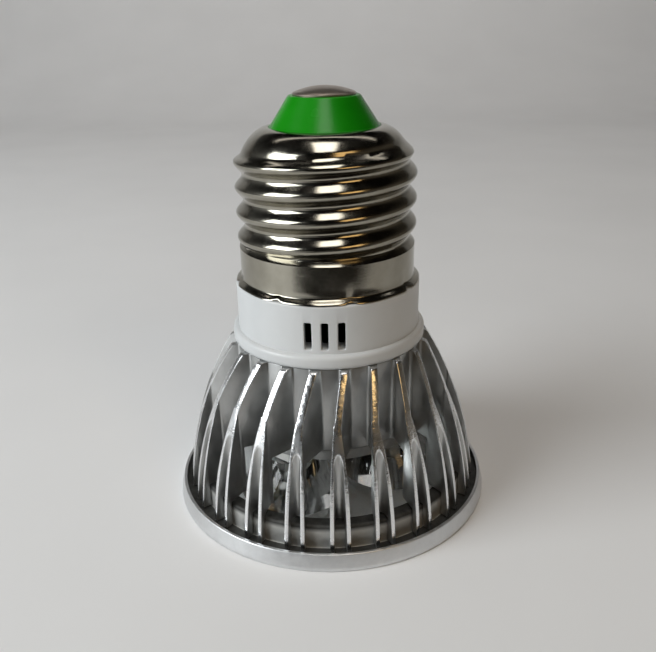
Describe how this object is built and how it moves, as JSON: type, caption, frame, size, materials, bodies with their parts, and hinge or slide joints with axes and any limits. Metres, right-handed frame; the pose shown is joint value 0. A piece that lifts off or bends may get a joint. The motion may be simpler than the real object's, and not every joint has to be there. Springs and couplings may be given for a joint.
{
  "type": "led spotlight bulb",
  "caption": "Screw-cap LED spotlight bulb with a bell-shaped heat sink of forked fins, a vented white collar and a front ring that unscrews to free the lens.",
  "frame": {"origin": "on the lamp's axis, in the plane of the front ring's face, on which it stands", "axes": "+Z along the axis from the front ring to the centre contact; -Y is the side with the vent slots that the picture shows"},
  "size_m": [0.05, 0.05, 0.063],
  "materials": {
    "satin_aluminium": "satin turned aluminium",
    "clear_acrylic": "clear moulded acrylic",
    "led_housing": "white emitter body",
    "led_silicone": "clear dome over a yellow chip",
    "board_white": "aluminium-core board with white mask",
    "pad_grey": "silicone heat pad",
    "screw_steel": "zinc-plated steel",
    "bright_aluminium": "bright turned aluminium",
    "white_plastic": "white moulded plastic",
    "nickel_plate": "bright nickel plate on rolled steel sheet",
    "green_plastic": "glossy green moulded plastic",
    "contact_nickel": "nickel-plated contact",
    "card_green": "glass-epoxy card",
    "ferrite": "ferrite",
    "winding_tape": "taped winding",
    "can_sleeve": "sleeved aluminium can",
    "black_epoxy": "moulded epoxy",
    "resistor_lacquer": "lacquered body",
    "red_sleeve": "insulated lead",
    "black_sleeve": "insulated lead"
  },
  "bodies": {
    "lamp": {"led_bodies": "led_housing", "led_domes": "led_silicone", "led_board": "board_white", "thermal_pad": "pad_grey", "board_screws": "screw_steel", "collar_screws": "screw_steel", "heat_sink": "bright_aluminium", "collar": "white_plastic", "screw_shell": "nickel_plate", "base_insulator": "green_plastic", "centre_contact": "contact_nickel", "driver_board": "card_green", "transformer_core": "ferrite", "transformer_coil": "winding_tape", "input_capacitor": "can_sleeve", "output_capacitor": "can_sleeve", "bridge_rectifier": "black_epoxy", "controller_chip": "black_epoxy", "fuse_resistor": "resistor_lacquer", "live_lead": "red_sleeve", "neutral_lead": "black_sleeve", "led_lead_positive": "red_sleeve", "led_lead_negative": "black_sleeve"},
    "lens": {"lens_plate": "clear_acrylic"},
    "ring": {"bezel_ring": "satin_aluminium"}
  },
  "joints": [
    {"name": "lens_drop", "type": "slide", "parent": "lamp", "child": "lens", "axis": [0, 0, -1], "range_m": [0, 0.0031]},
    {"name": "ring_turn", "type": "hinge", "parent": "lens", "child": "ring", "pos_m": [0, 0, 0.004], "axis": [0, 0, -1], "range_deg": [0, 1080]}
  ],
  "couplings": [
    {"joint": "lens_drop", "follows": "ring_turn", "m_per_rad": 0.00015915}
  ]
}
